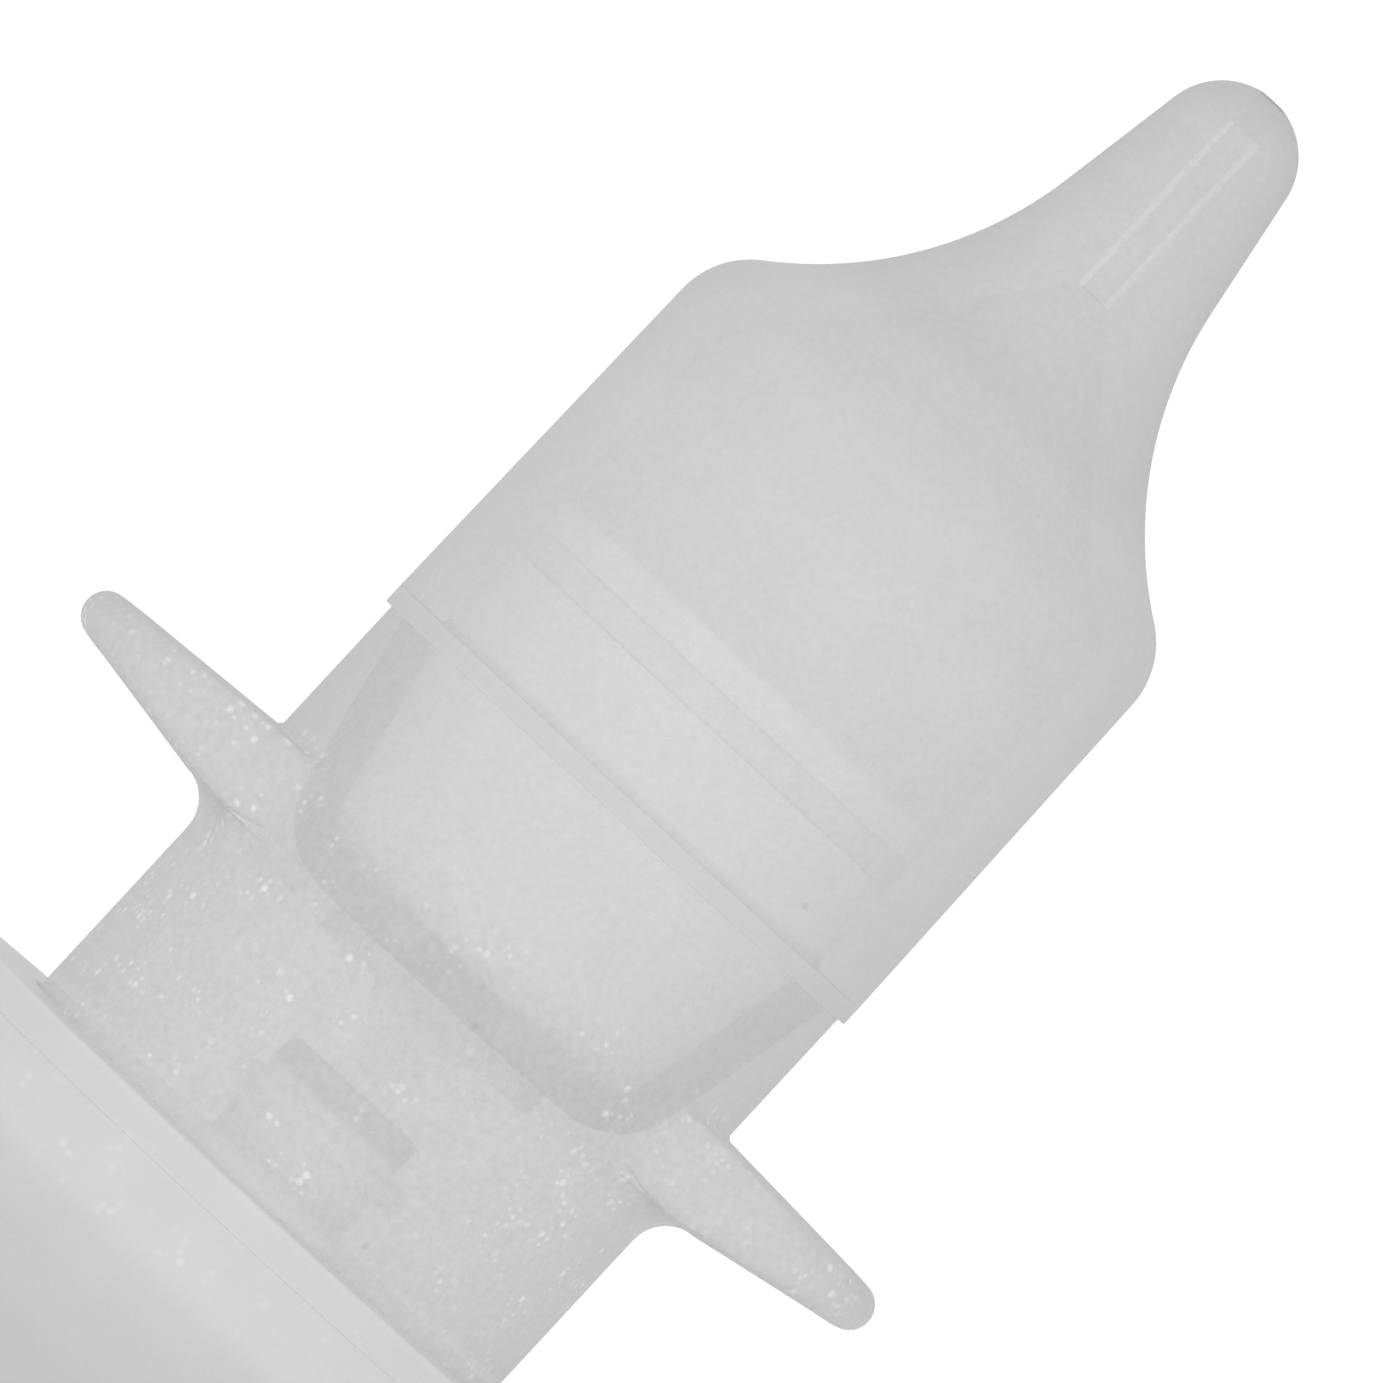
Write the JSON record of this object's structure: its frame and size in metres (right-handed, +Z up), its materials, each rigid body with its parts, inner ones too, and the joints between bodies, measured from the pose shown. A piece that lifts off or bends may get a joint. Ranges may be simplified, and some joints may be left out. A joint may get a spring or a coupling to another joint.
{
  "type": "saliva ejector tip",
  "caption": "Soft winged suction tip with a pull-off tapered nose cap, a strainer cup and a backflow valve inside, on a swivelling hub with a hose socket.",
  "frame": {"origin": "centre of the hub's flat base, where the suction hose enters", "axes": "+Z up the tip's axis from the hub's base to the nose; the finger wings point along +X and -X"},
  "size_m": [0.0228, 0.0186, 0.0457],
  "materials": {
    "soft_silicone": "frosted translucent silicone with fine mottling and a few light specks",
    "clear_liner": "clear extruded tube",
    "natural_plastic": "natural moulded polypropylene, satin",
    "cup_plastic": "natural moulded polypropylene, slightly grey",
    "valve_silicone": "thin matt silicone",
    "seal_silicone": "matt grey silicone",
    "hub_plastic": "milky moulded plastic, satin",
    "washer_plastic": "white low-friction plastic",
    "dark_seal": "matt dark rubber"
  },
  "bodies": {
    "hub": {"hub": "hub_plastic", "front_ring": "hub_plastic", "thrust_washer": "washer_plastic", "outlet_tube": "natural_plastic", "socket_seal_upper": "dark_seal", "socket_seal_lower": "dark_seal"},
    "tip": {"tip_body": "soft_silicone", "duckbill_valve": "valve_silicone", "strainer_cup": "cup_plastic", "spigot_collar": "natural_plastic", "cap_seal": "seal_silicone", "tube_seal": "seal_silicone"},
    "strainer": {"strainer_basket": "natural_plastic"},
    "cap": {"nose_cap": "soft_silicone", "lumen_liner": "clear_liner"}
  },
  "joints": [
    {"name": "tip_swivel", "type": "hinge", "parent": "hub", "child": "tip", "pos_m": [0, 0, 0.0112], "axis": [0, 0, 1], "continuous": true},
    {"name": "cap_pull", "type": "slide", "parent": "tip", "child": "cap", "axis": [0, 0, 1], "range_m": [0, 0.008]},
    {"name": "strainer_lift", "type": "slide", "parent": "tip", "child": "strainer", "axis": [0, 0, 1], "range_m": [0, 0.006]}
  ]
}
